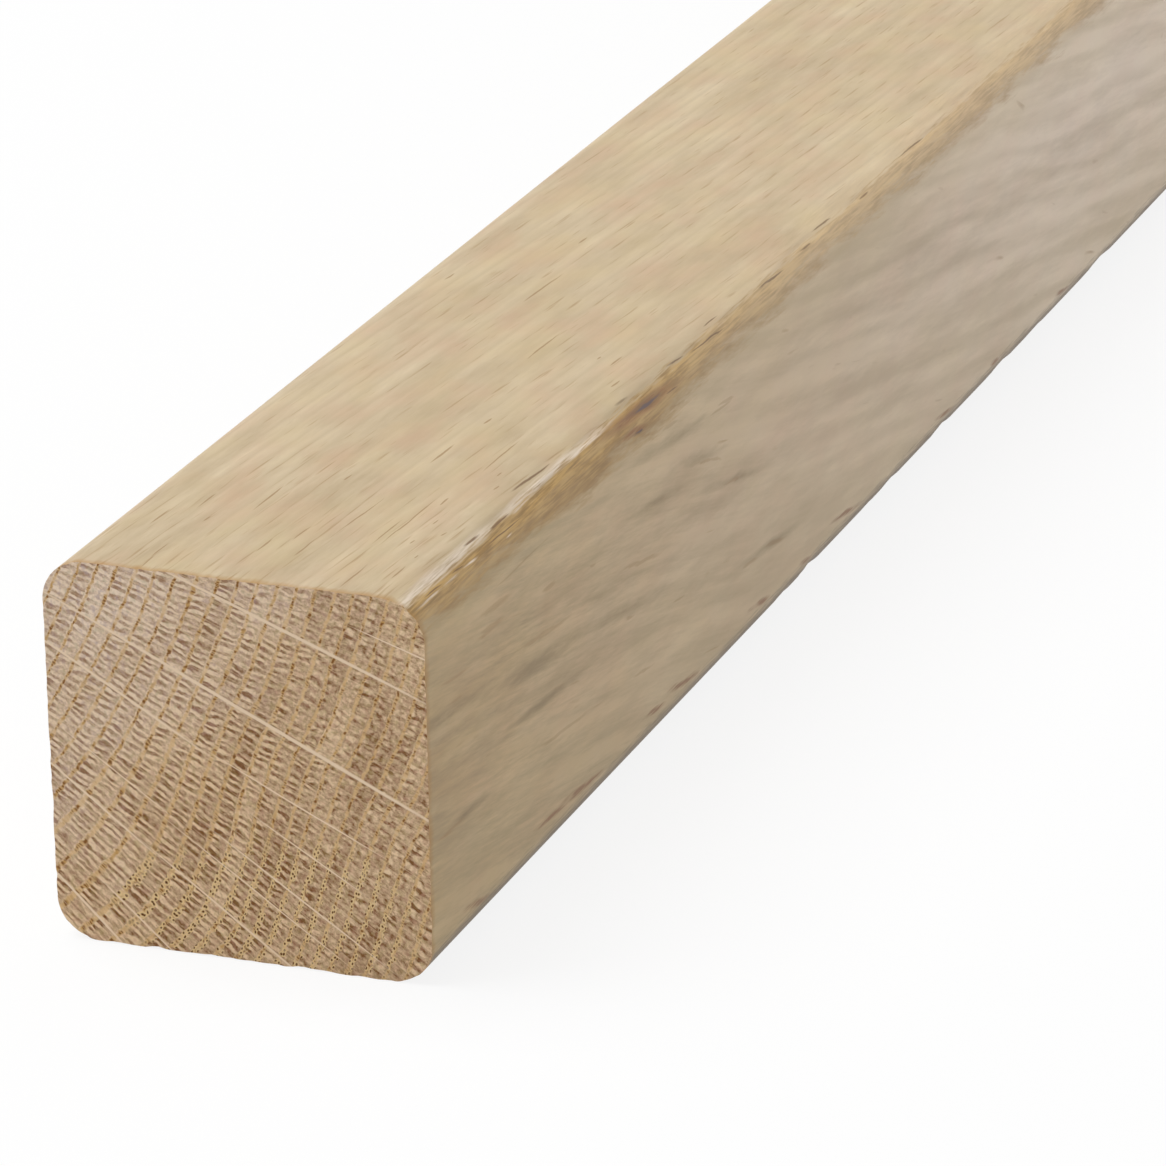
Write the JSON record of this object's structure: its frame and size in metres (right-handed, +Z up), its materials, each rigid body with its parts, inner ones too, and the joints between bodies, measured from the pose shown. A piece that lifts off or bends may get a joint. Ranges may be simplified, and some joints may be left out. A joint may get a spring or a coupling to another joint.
{
  "type": "square wooden handrail",
  "caption": "Straight square-section oak handrail with rounded long edges, planed faces and square-sawn ends.",
  "frame": {"origin": "middle of the underside, halfway along the rail", "axes": "+X along the length, away from the sawn end that the picture shows; -Y out of the side face that the picture shows; +Z up"},
  "size_m": [1, 0.045, 0.045],
  "materials": {
    "oak": "bare European oak, planed along the grain and sawn across it at the ends"
  },
  "bodies": {
    "root": {"handrail": "oak"}
  },
  "joints": []
}
